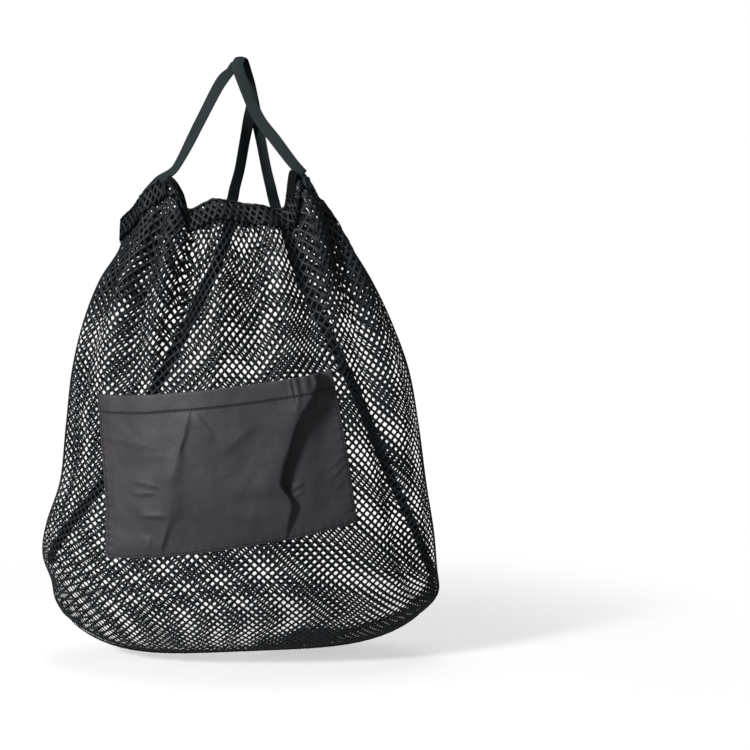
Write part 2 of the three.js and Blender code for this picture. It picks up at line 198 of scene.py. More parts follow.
def smooth_reading(at, values, place):
    """A table's column read at places between its rows, without kinks at the rows."""
    rows = np.arange(len(at))
    before, after = np.maximum(rows - 1, 0), np.minimum(rows + 1, len(at) - 1)
    slopes = (values[after] - values[before]) / (at[after] - at[before])
    i = np.clip(np.searchsorted(at, place) - 1, 0, len(at) - 2)
    span = at[i + 1] - at[i]
    t = (place - at[i]) / span
    return hermite(t, values[i], slopes[i] * span, values[i + 1], slopes[i + 1] * span)


def section(name, along):
    return smooth_reading(SECTIONS["along"], SECTIONS[name], along)


def even_angle(share, half_width, half_depth, steps=60):
    """Angle round a half oval at an even share of its length."""
    middle = np.pi * (np.arange(steps) + 0.5) / steps
    lengths = np.hypot(half_width[:, None] * np.sin(middle), half_depth[:, None] * np.cos(middle))
    run = np.concatenate([np.zeros((len(lengths), 1)), np.cumsum(lengths, axis=1)], axis=1)
    wanted = share * run[:, -1]
    i = np.clip((run < wanted[:, None]).sum(axis=1) - 1, 0, steps - 1)[:, None]
    before = np.take_along_axis(run, i, axis=1)[:, 0]
    step = np.take_along_axis(lengths, i, axis=1)[:, 0]
    return np.pi * (i[:, 0] + (wanted - before) / step) / steps


def crown_rise(side, reach):
    if side == BACK:
        return BACK_RIM_RISE * (1 - reach**2)
    return np.interp(reach, CROWN["reach"], CROWN["rise"])


def plain_sack(side, across, along):
    """The sack without gathers and folds. across is -1 at the left seam and 1 at the right."""
    half_width, half_depth = section("half_width", along), section("half_depth", along)
    angle = even_angle((across + 1) / 2, half_width, half_depth)
    reach = -np.cos(angle)
    mid_z = section("mid_z", along) + section("tilt", along) * reach
    side_z = np.where(reach < 0, section("left_z", along), section("right_z", along))
    side_mid_z = section("mid_z", along) + section("tilt", along) * np.sign(reach)
    lift = (side_z - side_mid_z) * np.abs(reach) ** section("lift_power", along)
    crown = section("crown", along) * crown_rise(side, reach)
    x = section("centre_x", along) + half_width * reach
    y = side * (half_depth * np.sin(angle) + SEAM_GAP / 2)
    return np.stack([x, y, mid_z + lift + crown], axis=1)


def outward(surface, side, across, along, step_across=0.01, step_along=1):
    """Outward direction of a surface of side, across and along."""
    left = surface(side, np.maximum(across - step_across, -1), along)
    right = surface(side, np.minimum(across + step_across, 1), along)
    up = surface(side, across, np.maximum(along - step_along, 0))
    down = surface(side, across, np.minimum(along + step_along, CLOTH_LENGTH))
    return unit(side * np.cross(right - left, down - up))


def fold_height(side, across, along):
    """Height of the gathers and the long folds over the plain sack."""
    turn = np.pi * (across + 1)
    wander = GATHER_WANDER[0] * np.sin(turn) + GATHER_WANDER[1] * side * np.sin(2 * turn)
    swell = (1 + GATHER_SWELL * side * np.sin(3 * turn)) * (1 - across**4)
    height = section("gather", along) * swell * np.sin(GATHERS * turn + wander)
    for i in np.flatnonzero(FOLDS["side"] == side):
        fold = {name: column[i] for name, column in FOLDS.items()}
        way = np.clip((along - fold["start"]) / (fold["end"] - fold["start"]), 0, 1)
        place = fold["at"] + (fold["end_at"] - fold["at"]) * way
        dip = np.exp(-(((across - place) / fold["half_width"]) ** 2))
        height = height - fold["depth"] * np.sin(np.pi * way) * dip
    return height


def fine_gathers(side, across, along):
    """Height of the small gathers that run down from the casing and die out."""
    turn = np.pi * (across + 1)
    height = np.zeros_like(across)
    drift = FINE_DRIFT * along
    for count, rise, reach_down in zip(*FINE_GATHERS.values()):
        wander = FINE_WANDER[0] * (np.sin(2 * turn + count) - math.sin(count))
        wander = wander + FINE_WANDER[1] * (np.sin(5 * turn + drift) - np.sin(drift))
        swell = (1 - FINE_SWELL + FINE_SWELL * np.sin(3 * turn + count)) * (1 - across**4)
        fade = np.clip(1 - (along - CASING_HEIGHT) / reach_down, 0, 1) ** FINE_FADE
        height = height + rise * swell * fade * np.sin(count * turn + wander)
    return height


def over_sack(side, across, along, height):
    """A point at a height over the plain sack."""
    out = outward(plain_sack, side, across, along)
    return plain_sack(side, across, along) + height[:, None] * out


def sack(side, across, along):
    """The sack as it hangs, with its gathers and long folds."""
    return over_sack(side, across, along, fold_height(side, across, along))


# The camera stands where the photograph was taken from, square to the front and a little above
IMAGE_WIDTH = 750
MM_PER_PIXEL = 0.95
HANG_PIXEL = (241, 57)
HANG_HEIGHT = 7
CAMERA_ELEVATION = math.radians(9)
CAMERA_DISTANCE = 4000


def new_object(name, data):
    thing = bpy.data.objects.new(name, data)
    bpy.context.scene.collection.objects.link(thing)
    return thing


def mesh_object(name, flat, finish):
    mesh = bpy.data.meshes.new(name)
    flat.to_mesh(mesh)
    flat.free()
    mesh.materials.append(finish)
    return new_object(name, mesh)


def add_camera():
    middle = IMAGE_WIDTH / 2
    right = (middle - HANG_PIXEL[0]) * MM_PER_PIXEL
    up = HANG_HEIGHT - (middle - HANG_PIXEL[1]) * MM_PER_PIXEL
    target = Vector((right, 0, up / math.cos(CAMERA_ELEVATION)))
    back = Vector((0, -math.cos(CAMERA_ELEVATION), math.sin(CAMERA_ELEVATION)))
    data = bpy.data.cameras.new("camera")
    data.lens = data.sensor_width * CAMERA_DISTANCE / (IMAGE_WIDTH * MM_PER_PIXEL)
    camera = new_object("camera", data)
    camera.location = (target + back * CAMERA_DISTANCE) * MM
    camera.rotation_euler = back.to_track_quat("Z", "Y").to_euler()
    bpy.context.scene.camera = camera


add_camera()


class Shade:
    """A socket of a finish. Sums and products of these and of numbers add Math nodes."""

    def __init__(self, finish, socket):
        self.finish, self.socket = finish, socket

    def maths(self, operation, first, second):
        return self.finish.node("ShaderNodeMath", {"operation": operation}, {0: first, 1: second})

    def __add__(self, other):
        return self.maths("ADD", self, other)

    def __radd__(self, other):
        return self.maths("ADD", other, self)

    def __sub__(self, other):
        return self.maths("SUBTRACT", self, other)

    def __mul__(self, other):
        return self.maths("MULTIPLY", self, other)


class Finish:
    """A material whose nodes are added one by one."""

    def __init__(self, name):
        self.material = bpy.data.materials.new(name)
        self.material.use_nodes = True
        self.tree = self.material.node_tree
        self.shader = self.tree.nodes["Principled BSDF"]

    def node(self, kind, settings=None, sockets=None, output=0):
        node = self.tree.nodes.new(kind)
        for name, value in (settings or {}).items():
            setattr(node, name, value)
        for name, value in (sockets or {}).items():
            self.feed(node.inputs[name], value)
        return Shade(self, node.outputs[output])

    def feed(self, socket, value):
        if isinstance(value, Shade):
            self.tree.links.new(value.socket, socket)
        else:
            socket.default_value = value

    def surface(self, **sockets):
        for name, value in sockets.items():
            self.feed(self.shader.inputs[name.replace("_", " ")], value)
        return self.material

    def object_place(self):
        return self.node("ShaderNodeTexCoord", output="Object")

    def noise(self, scale, detail=2, roughness=0.55):
        sockets = {"Scale": scale, "Detail": detail, "Roughness": roughness}
        return self.node("ShaderNodeTexNoise", None, {"Vector": self.object_place(), **sockets})

    def weave(self, *pitches):
        """Crossing yarns, from -1 to 1, at their pitches across and along the flat cloth."""
        flat = self.node("ShaderNodeUVMap", {"uv_map": "flat"})
        waves = []
        for axis, pitch in enumerate(pitches):
            place = self.node("ShaderNodeSeparateXYZ", None, {0: flat}, axis)
            turns = {0: place * (2 * math.pi / (pitch * MM))}
            waves.append(self.node("ShaderNodeMath", {"operation": "SINE"}, turns))
        return waves[0] * waves[1]

    def colour(self, share):
        """A colour between the darkest and the lightest of this finish."""
        dark, light = COLOURS[self.material.name]
        sockets = {"Factor": share, 6: linear(*dark), 7: linear(*light)}
        return self.node("ShaderNodeMix", {"data_type": "RGBA"}, sockets, 2)

    def bump(self, height, strength, distance, **normal):
        sockets = {"Height": height, "Strength": strength, "Distance": distance, **normal}
        return self.node("ShaderNodeBump", None, sockets)


# Darkest and lightest display colour of each finish, from 0 to 255
COLOURS = {
    "mesh_polyester": ((7, 10, 12), (27, 35, 41)),
    "webbing_polyester": ((7, 14, 16), (25, 40, 44)),
    "nylon_taffeta": ((38, 36, 40), (59, 57, 63)),
    # The thread is darker than the nylon: painted shade of the dents where its stitches sink in.
    "painted_shade_thread": ((5, 5, 6), (20, 18, 20)),
    # The ear band's colours are darker than the net's: painted shade.
    "painted_shade_band": ((3, 4, 5), (11, 14, 16)),
    "floor_paper": ((246, 246, 246), (250, 250, 249)),
}
YARN_PITCH = 2.2
NYLON_WEAVE = 0.7
SHADED_BAND_WEAVE = 1.2


def linear(red, green, blue):
    """A display colour, from 0 to 255, as the linear colour that a shader takes."""
    shares = [value / 255 for value in (red, green, blue)]
    return [s / 12.92 if s < 0.04045 else ((s + 0.055) / 1.055) ** 2.4 for s in shares] + [1]


def mesh_finish():
    """Black polyester net: knitted strands with a dull shine."""
    finish = Finish("mesh_polyester")
    patches, fibres = finish.noise(scale=22), finish.noise(scale=900)
    return finish.surface(
        Base_Color=finish.colour(patches * fibres * 1.6),
        Roughness=0.42 + fibres * 0.3,
        Normal=finish.bump(fibres, 0.5, 0.0003),
        Specular_IOR_Level=0.25,
    )


def webbing_finish():
    """Black webbing: ribs across it, broken by the lengthwise yarns."""
    finish = Finish("webbing_polyester")
    weave = finish.weave(YARN_PITCH, RIB_PITCH) * 0.5 + 0.5
    patches, fuzz = finish.noise(scale=30), finish.noise(scale=700)
    return finish.surface(
        Base_Color=finish.colour(weave * 0.5 + patches * 0.6 - 0.1),
        Roughness=0.6 + fuzz * 0.25,
        Normal=finish.bump(weave + fuzz * 0.4, 0.6, 0.0004),
        Specular_IOR_Level=0.25,
    )


def nylon_finish():
    """Dark grey nylon with a fine plain weave and a soft shine."""
    finish = Finish("nylon_taffeta")
    weave = finish.weave(NYLON_WEAVE, NYLON_WEAVE)
    crinkle = finish.noise(scale=55, detail=4, roughness=0.5)
    patches = finish.noise(scale=9, detail=3)
    crumpled = finish.bump(crinkle, 0.35, 0.003)
    return finish.surface(
        Base_Color=finish.colour(patches * 0.8 + crinkle * 0.4 - 0.2),
        Roughness=0.5 + crinkle * 0.2,
        Normal=finish.bump(weave, 0.12, 0.0002, Normal=crumpled),
        Specular_IOR_Level=0.28,
    )


def painted_shade_thread_finish():
    """Sewing thread, coloured near black: painted shade of the dents where the stitches sink into
    the cloth.
    """
    finish = Finish("painted_shade_thread")
    twist = finish.noise(scale=1500, detail=1)
    return finish.surface(
        Base_Color=finish.colour(twist),
        Roughness=0.75 + twist * 0.2,
        Normal=finish.bump(twist, 0.5, 0.0002),
        Specular_IOR_Level=0.1,
    )


def painted_shade_band_finish():
    """Near-black close-woven cloth for the band along the inner edges of the ears, darker than the
    net: painted shade.
    """
    finish = Finish("painted_shade_band")
    weave = finish.weave(SHADED_BAND_WEAVE, SHADED_BAND_WEAVE)
    patches = finish.noise(scale=40)
    return finish.surface(
        Base_Color=finish.colour(patches),
        Roughness=0.7 + patches * 0.2,
        Normal=finish.bump(weave, 0.4, 0.0003),
        Specular_IOR_Level=0.1,
    )


MESH, WEBBING, NYLON = mesh_finish(), webbing_finish(), nylon_finish()
PAINTED_SHADE_THREAD, PAINTED_SHADE_BAND = painted_shade_thread_finish(), painted_shade_band_finish()


def flat_points(flat):
    return np.array([vertex.co for vertex in flat.verts])


def made_piece(name, flat, points, finish, slot, *nodes):
    """The piece that a flat cut becomes when its points, in millimetres, are led to places."""
    loops = flat.loops.layers.uv.new("flat")
    for face in flat.faces:
        face.smooth = True
        for loop in face.loops:
            loop[loops].uv = (loop.vert.co.x * MM, loop.vert.co.y * MM)
    for vertex, point in zip(flat.verts, points):
        vertex.co = point * MM
    bmesh.ops.recalc_face_normals(flat, faces=flat.faces[:])
    piece = mesh_object(name, flat, finish)
    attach(piece, "root")
    if nodes:
        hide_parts(*nodes)
    return piece


def face_middles(net):
    return np.array([face.calc_center_median() for face in net.faces])


def cut_away(net, spare):
    """Takes away the faces that are marked as spare."""
    faces = [face for face, is_spare in zip(net.faces[:], spare) if is_spare]
    bmesh.ops.delete(net, geom=faces, context="FACES")


def flat_net(left, right, top, bottom, tilt, hole_share):
    """A net laid flat and cut to a rectangle, as one layer of flat strands round open holes.

    hole_share tells, at a place of the flat cloth, how much of a hole's width is left open.
    """
    net = bmesh.new()
    pitch = STRAND_SPACING * math.sqrt(2)
    half = math.hypot(right - left, bottom - top) / 2 + pitch
    cells = math.ceil(2 * half / pitch)
    bmesh.ops.create_grid(net, x_segments=cells, y_segments=cells, size=cells * pitch / 2)
    squares = [edge for edge in net.edges if not edge.is_boundary]
    bmesh.ops.poke(net, faces=net.faces[:])
    bmesh.ops.dissolve_edges(net, edges=squares)
    place = Matrix.Translation(((left + right) / 2, (top + bottom) / 2, 0))
    bmesh.ops.transform(net, matrix=place @ Matrix.Rotation(tilt, 4, "Z"), verts=net.verts[:])
    x, y, _ = face_middles(net).T
    inside_x = (x > left - pitch) & (x < right + pitch)
    cut_away(net, ~(inside_x & (y > top - pitch) & (y < bottom + pitch)))
    holes = net.faces[:]
    bmesh.ops.inset_individual(
        net, faces=holes, thickness=STRAND_WIDTH / 2, use_even_offset=True
    )
    hole_edges = {edge for face in holes for edge in face.edges}
    bmesh.ops.subdivide_edges(net, edges=list(hole_edges), cuts=1)
    middles = np.array([hole.calc_center_median() for hole in holes])
    for hole, open_share in zip(holes, hole_share(middles[:, 0], middles[:, 1])):
        middle = hole.calc_center_median()
        usual = sum((vertex.co - middle).length for vertex in hole.verts) / len(hole.verts)
        for vertex in hole.verts:
            off = vertex.co - middle
            rounding = HOLE_ROUNDING if off.length > usual else 1
            vertex.co = middle + off * open_share * rounding
    bmesh.ops.delete(net, geom=holes, context="FACES_ONLY")
    for place, direction in (
        ((left, 0, 0), (-1, 0, 0)),
        ((right, 0, 0), (1, 0, 0)),
        ((0, top, 0), (0, -1, 0)),
        ((0, bottom, 0), (0, 1, 0)),
    ):
        bmesh.ops.bisect_plane(
            net, geom=net.verts[:] + net.edges[:] + net.faces[:], dist=0.01,
            plane_co=place, plane_no=direction, clear_outer=True,
        )
    return net


def add_grid(flat, left, right, top, bottom, faces_across, faces_down):
    scale = Matrix.Diagonal(((right - left) / 2, (bottom - top) / 2, 1, 1))
    place = Matrix.Translation(((left + right) / 2, (top + bottom) / 2, 0))
    bmesh.ops.create_grid(
        flat, x_segments=faces_across, y_segments=faces_down, size=1, matrix=place @ scale
    )


def add_flat_strip(net, left, right, top, bottom, step):
    """A closed strip of cloth beside a flat net, as where a seam doubles it."""
    faces_across = max(2, 2 * round((right - left) / step))
    faces_down = max(2, round((bottom - top) / step))
    add_grid(net, left, right, top, bottom, faces_across, faces_down)


def loose_ends(net):
    """The stubs at a cut edge that have no middle left to be thickened."""
    return [face for face in net.faces if all(vertex.is_boundary for vertex in face.verts)]


def thicken(flat, half_thick):
    """Two layers out of one: they part between the edges and meet at them."""
    while stubs := loose_ends(flat):
        bmesh.ops.delete(flat, geom=stubs, context="FACES")
    rim = flat.verts.layers.int.new("rim")
    for vertex in flat.verts:
        vertex[rim] = int(vertex.is_boundary)
    copy = bmesh.ops.duplicate(flat, geom=flat.verts[:] + flat.edges[:] + flat.faces[:])["geom"]
    lower = [element for element in copy if isinstance(element, bmesh.types.BMFace)]
    bmesh.ops.reverse_faces(flat, faces=lower)
    lower_points = {vertex for face in lower for vertex in face.verts}
    for vertex in flat.verts:
        if not vertex[rim]:
            vertex.co.z += -half_thick if vertex in lower_points else half_thick
    shared = [vertex for vertex in flat.verts if vertex[rim]]
    bmesh.ops.remove_doubles(flat, verts=shared, dist=0.001)


# The cloth of the ears is drawn up over the rest of the front: what rises over this height, from
# how far down, and with how much cloth to spare inside the casing
EAR_CLOTH_OVER = 25
EAR_CLOTH_FROM = 150
EAR_CLOTH_SPARE = 4


def reach_at(across):
    """How far along the width of the mouth a place across the cloth lies, from -1 to 1."""
    mouth = [np.full_like(across, SECTIONS[name][0]) for name in ("half_width", "half_depth")]
    return -np.cos(even_angle((across + 1) / 2, *mouth))


def ear_cloth(side, across):
    """Cloth that stands over the rest of the rim where the straps draw up the ears."""
    if side == BACK:
        return np.zeros_like(across)
    return np.clip(crown_rise(side, reach_at(across)) - EAR_CLOTH_OVER, 0, None)


# Where the mouth draws the cloth together its holes close: by how much in the ears and at the
# shoulders, and where the shoulders start and end, along the width and down the cloth
EAR_CLOSING = 0.3
SHOULDER_CLOSING = 0.5
SHOULDER_REACH = (0.35, 0.6)
SHOULDER_DEPTH = (15, 120)
# The back's cloth is bunched together low down on the right, and its holes close there so that its
# dark cloth shows through the front's holes: partly the doubled cloth and partly painted shade of
# the bag's shaded lower corner. The table gives where that starts, over how much of the cloth it
# comes, and by how much the holes close there
BUNCH_AND_SHADE_LINE = columns(
    ("x", "down"),
    ((0, 475), (22, 440), (65, 426), (129, 428), (165, 420), (190, 405), (205, 375), (229, 350)),
)
BUNCH_AND_SHADE_START = 14
BUNCH_AND_SHADE_CLOSING = 0.7
# Inside the casing a panel lies behind the webbing: how far, from how far below the casing, and
# over how much cloth it gets there
BEHIND_WEBBING = 1.5
BEHIND_FROM = 3
BEHIND_WITHIN = 8


def panel_hole_share(side, x, down):
    """How much of the width of a panel's holes is open."""
    reach = np.abs(reach_at(np.clip(x / (CLOTH_WIDTH / 2), -1, 1)))
    at_shoulder = share_between(SHOULDER_REACH, reach)
    near_mouth = 1 - share_between(SHOULDER_DEPTH, down)
    in_ear = smooth_step((CASING_HEIGHT - down) / CASING_HEIGHT)
    share = 1 - SHOULDER_CLOSING * at_shoulder * near_mouth - EAR_CLOSING * in_ear
    if side == BACK:
        # Closed holes low on the back's right: partly bunched cloth, partly painted shade seen
        # through the front
        below = down - np.interp(x, BUNCH_AND_SHADE_LINE["x"], BUNCH_AND_SHADE_LINE["down"])
        share = share - BUNCH_AND_SHADE_CLOSING * smooth_step(below / BUNCH_AND_SHADE_START)
    return share


def mesh_panel(node, side):
    """One of the sack's two panels of net, from inside the casing to the bottom seam."""
    half = CLOTH_WIDTH / 2
    top = CASING_HEIGHT - CASING_OVERLAP
    highest = top - 2 * EAR_CLOTH_OVER
    net = flat_net(
        -half + SIDE_SEAM_WIDTH, half - SIDE_SEAM_WIDTH, highest, CLOTH_LENGTH, side * -NET_TILT,
        lambda x, down: panel_hole_share(side, x, down),
    )
    middles = face_middles(net)
    across = np.clip(middles[:, 0] / half, -1, 1)
    in_ear = ear_cloth(side, across)
    cut_away(net, middles[:, 1] < top - in_ear - EAR_CLOTH_SPARE * (in_ear > 0))
    for left in (-half, half - SIDE_SEAM_WIDTH):
        right = left + SIDE_SEAM_WIDTH
        add_flat_strip(net, left, right, top, CLOTH_LENGTH, SIDE_SEAM_WIDTH)
    area = sum(face.calc_area() for face in net.faces) * MM * MM
    thicken(net, STRAND_HALF_THICK)
    x, down, height = flat_points(net).T
    across = np.clip(x / half, -1, 1)
    extra = ear_cloth(side, across)
    drawn_up = EAR_CLOTH_FROM * (down + extra) / (EAR_CLOTH_FROM + extra)
    along = np.clip(np.where(down < EAR_CLOTH_FROM, drawn_up, down), 0, CLOTH_LENGTH)
    in_casing = np.clip((CASING_HEIGHT + BEHIND_FROM - along) / BEHIND_WITHIN, 0, 1)
    rise = height - BEHIND_WEBBING * in_casing + fold_height(side, across, along)
    rise = rise + fine_gathers(side, across, along)
    points = over_sack(side, across, along, rise)
    points[:, 1] = side * np.maximum(side * points[:, 1], SEAM_GAP / 2)
    piece = made_piece(node + "_net", net, points, MESH, "mesh", node)


mesh_panel("mesh_front", FRONT)
mesh_panel("mesh_back", BACK)


# Places round the mouth are counted from the middle of the front: 1 at the right seam, 2 at the
# middle of the back, 3 at the left seam and 4 at the middle of the front again.
MOUTH_STEPS = 800


def mouth_table():
    """Places round the mouth, and at each the rim, the casing's lower edge and the way out."""
    places = np.linspace(-1, 3, MOUTH_STEPS + 1)
    rows = []
    for side, inside in ((FRONT, places <= 1), (BACK, places > 1)):
        across = places[inside] if side == FRONT else 2 - places[inside]
        rim = sack(side, across, np.zeros_like(across))
        lower = sack(side, across, np.full_like(across, CASING_HEIGHT))
        out = outward(sack, side, across, np.full_like(across, CASING_HEIGHT / 2))
        rows.append(np.concatenate([rim, lower, out], axis=1))
    table = np.concatenate(rows)
    seams = np.isin(places, (-1, 1, 3))
    table[seams, 7] = 0
    return places, table


MOUTH_PLACES, MOUTH = mouth_table()


def at_mouth(place, along, height):
    """A point of the casing: straight down from the rim, and outwards from the channel's middle."""
    place = (place + 1) % 4 - 1
    read = np.stack([np.interp(place, MOUTH_PLACES, column) for column in MOUTH.T], axis=1)
    rim, lower, out = read[:, 0:3], read[:, 3:6], unit(read[:, 6:9])
    return rim + (lower - rim) * (along / CASING_HEIGHT)[:, None] + out * height[:, None]


def across_at(reach):
    """Place across the front of the mouth that lies that far along its width."""
    across = np.linspace(-1, 1, MOUTH_STEPS // 2 + 1)
    return float(np.interp(reach, reach_at(across), across))


# The ears of the mouth: how far the casing's outer leaf is slit where a strap comes out, and the
# width, height over the channel's middle and length of the solid band along their inner edges
SLIT_DEPTH = 3
EAR_BAND = 8.5
EAR_BAND_HEIGHT = 2.9
EAR_BAND_LENGTH = 36
PLACE_STEP = 0.004
# The casing's cloth laid out flat
FOLD_STEP = 1.2
FLAT_APART = 20
CASING_HOLE_SHARE = 0.62
EAR_HOLE_SHARE = 0.18
# How the casing's gathers wander, how unevenly they swell, and by how much they lift the fold
CASING_WANDER = columns(("size", "reach", "start"), ((1.3, 21, 0), (0.8, 9.7, 1)))
CASING_SWELL = 0.35
CASING_SWELL_REACH = 8.3
CASING_FOLD_LIFT = 0.6
FRONT_GATHER_SHARE = 0.35
BACK_GATHER_SHARE = 1
CASING_END_GAP = 0.01


def ear_band(place, width_share, height):
    """A point of the solid band that runs along an ear's inner edge, down from its peak."""
    rest = np.zeros_like(place)
    rim = at_mouth(place, rest, rest)
    ahead, behind = (at_mouth(place + step, rest, rest) for step in (PLACE_STEP, -PLACE_STEP))
    out = unit(at_mouth(place, rest, rest + 1) - rim)
    aside = unit(np.cross(out, unit(ahead - behind)))
    aside = aside * np.sign(aside[:, :1] * place[:, None])
    rise = out * (EAR_BAND_HEIGHT + height)[:, None]
    return rim + aside * (EAR_BAND * width_share)[:, None] + rise


def casing(node, ends, fold_ends, fullness, gather_share, bands=()):
    """A length of the casing: the top of the cloth folded over, and gathered along the webbing."""
    gap = CASING_HALF_GAP
    leaf = CASING_HEIGHT - gap
    bend = math.pi * gap
    places = np.linspace(*ends, MOUTH_STEPS)
    rim = at_mouth(places, np.zeros(MOUTH_STEPS), np.zeros(MOUTH_STEPS))
    run = np.concatenate([[0], np.cumsum(np.linalg.norm(np.diff(rim, axis=0), axis=1))])
    length = run[-1] * fullness
    fold_left, fold_right = np.interp(fold_ends, places, run) * fullness

    def in_ear(x):
        return (x < fold_left) | (x > fold_right)

    def casing_hole_share(x, down):
        return np.where(in_ear(x), EAR_HOLE_SHARE, CASING_HOLE_SHARE)

    net = flat_net(0, length, 0, leaf, NET_TILT, casing_hole_share)
    x, down, _ = face_middles(net).T
    cut_away(net, in_ear(x) & (down > leaf - SLIT_DEPTH))
    inner = flat_net(0, length, leaf + bend, 2 * leaf + bend, NET_TILT, casing_hole_share)
    inner_mesh = bpy.data.meshes.new("inner_leaf")
    inner.to_mesh(inner_mesh)
    inner.free()
    net.from_mesh(inner_mesh)
    bpy.data.meshes.remove(inner_mesh)
    add_flat_strip(net, fold_left, fold_right, leaf, leaf + bend, FOLD_STEP)
    band_starts = [length + FLAT_APART * (i + 1) for i in range(len(bands))]
    for band_start in band_starts:
        add_flat_strip(net, band_start, band_start + EAR_BAND, 0, EAR_BAND_LENGTH, FOLD_STEP)
    area = sum(face.calc_area() for face in net.faces) * MM * MM
    thicken(net, STRAND_HALF_THICK)
    x, down, height = flat_points(net).T
    place = np.interp(x / fullness, run, places)
    turn = np.clip((down - leaf) / gap, 0, math.pi)
    along = np.where(down < leaf, CASING_HEIGHT - down, gap - (gap + height) * np.sin(turn))
    along = np.where(down > leaf + bend, gap + down - leaf - bend, along)
    out = (gap + height) * np.cos(turn)
    ripple = x * 2 * math.pi / GATHER_PITCH
    for size, reach, start in zip(*CASING_WANDER.values()):
        ripple = ripple + size * np.sin(x / reach + start)
    swell = 1 - CASING_SWELL + CASING_SWELL * np.sin(x / CASING_SWELL_REACH)
    out = out + gather_share * GATHER_HEIGHT * swell * np.sin(ripple)
    along = along + gather_share * CASING_FOLD_LIFT * np.sin(ripple + 1) * np.sin(turn)
    points = at_mouth(place, along, out)
    for band_start, (peak, notch) in zip(band_starts, bands):
        banded = np.abs(x - band_start - EAR_BAND / 2) < FLAT_APART / 2
        way_down = down[banded] / EAR_BAND_LENGTH
        width_share = (x[banded] - band_start) / EAR_BAND
        points[banded] = ear_band(peak + (notch - peak) * way_down, width_share, height[banded])
    piece = made_piece(node + "_net", net, points, MESH, "mesh", node)
    # The ear bands take a second, darker finish than the net: painted shade.
    if bands:
        piece.data.materials.append(PAINTED_SHADE_BAND)
    for polygon in piece.data.polygons:
        if x[polygon.vertices[0]] > length + FLAT_APART / 2:
            polygon.material_index = 1


LEFT_PLACE = {name: across_at(reach) for name, reach in LEFT_EAR.items()}
RIGHT_PLACE = {name: across_at(reach) for name, reach in RIGHT_EAR.items()}
FRONT_ENDS = (LEFT_PLACE["front"], RIGHT_PLACE["front"])
BACK_ENDS = (FRONT_ENDS[1] + CASING_END_GAP, 4 - CASING_END_GAP + FRONT_ENDS[0])
BACK_FOLD_ENDS = (RIGHT_PLACE["casing"], 4 + LEFT_PLACE["casing"])
EAR_BANDS = [(ear["peak"], ear["notch"]) for ear in (LEFT_PLACE, RIGHT_PLACE)]
casing("casing_front", FRONT_ENDS, FRONT_ENDS, FRONT_FULLNESS, FRONT_GATHER_SHARE, EAR_BANDS)
casing("casing_back", BACK_ENDS, BACK_FOLD_ENDS, BACK_FULLNESS, BACK_GATHER_SHARE)


def catmull_rom(rows, per_span):
    """A smooth line through rows of points, with per_span steps from one to the next."""
    rows = np.array(rows, float)
    ends = [2 * rows[0] - rows[1], *rows, 2 * rows[-1] - rows[-2]]
    t = np.linspace(0, 1, per_span, endpoint=False)[:, None]
    line = []
    for a, b, c, d in zip(ends, ends[1:], ends[2:], ends[3:]):
        spans = [np.linalg.norm(q[:3] - p[:3]) for p, q in ((a, b), (b, c), (c, d))]
        before, here, after = np.sqrt(spans)
        start = (b - a) / before - (c - a) / (before + here) + (c - b) / here
        end = (c - b) / here - (d - b) / (here + after) + (d - c) / after
        line.append(hermite(t, b, start * here, c, end * here))
    return np.concatenate([*line, rows[-1:]])


# The webbing's turn over the hook, in degrees to both sides of its top, and its rows there
HOOK_TURN = 80
HOOK_ROWS = 5
BACK_LINE_STEPS = 3


def hook_rows(layer, front_x, back_x):
    """The turn of a strap over the hook: middle of the webbing, and the way its face looks."""
    radius = HOOK_RADIUS + WEBBING_THICK / 2 + layer * (WEBBING_THICK + 2 * WEBBING_CLEARANCE)
    rows = []
    for share in np.linspace(0, 1, HOOK_ROWS):
        angle = math.radians(HOOK_TURN * (2 * share - 1))
        x = front_x + (back_x - front_x) * share
        face = (0, math.sin(angle), math.cos(angle))
        rows.append((x, radius * face[1], radius * face[2] - HOOK_RADIUS, *face))
    return rows


def back_rows(rows):
    """A strap's run down the back: place across it, distance down it and height over it."""
    across, along, height = catmull_rom(rows, BACK_LINE_STEPS).T
    points = over_sack(BACK, across, along, height)
    return np.concatenate([points, outward(plain_sack, BACK, across, along)], axis=1)


# A strap rises to the casing's fold over the last share of its run in there. Near the place where
# it comes out it is bunched up narrower, each strap by its own share of the width.
EXIT_RISE = 8
EXIT_RUN_SHARE = 0.2
EXIT_REACH = 26
LEFT_NARROWING = 0.28
RIGHT_NARROWING = 0.1
# Both straps' inner ends lie beside the middle of the back
BACK_MIDDLE = 2
STRAP_END_OFF = 0.02


def casing_rows(start, end, count=60):
    """A strap's run inside the casing, from the back to the ear where it comes out."""
    share = np.linspace(0, 1, count)
    places = start + (end - start) * share
    near_exit = np.clip((share - 1 + EXIT_RUN_SHARE) / EXIT_RUN_SHARE, 0, 1)
    along = CASING_HEIGHT / 2 - EXIT_RISE * near_exit**2
    middle = at_mouth(places, along, np.zeros(count))
    outer = at_mouth(places, along, np.ones(count))
    return np.concatenate([middle, outer - middle], axis=1)


EDGE_ROUNDING = 0.4


def edges_over(bar, axis, least):
    """The edges that reach further than that along an axis."""
    return [e for e in bar.edges if abs(e.verts[0].co[axis] - e.verts[1].co[axis]) > least]


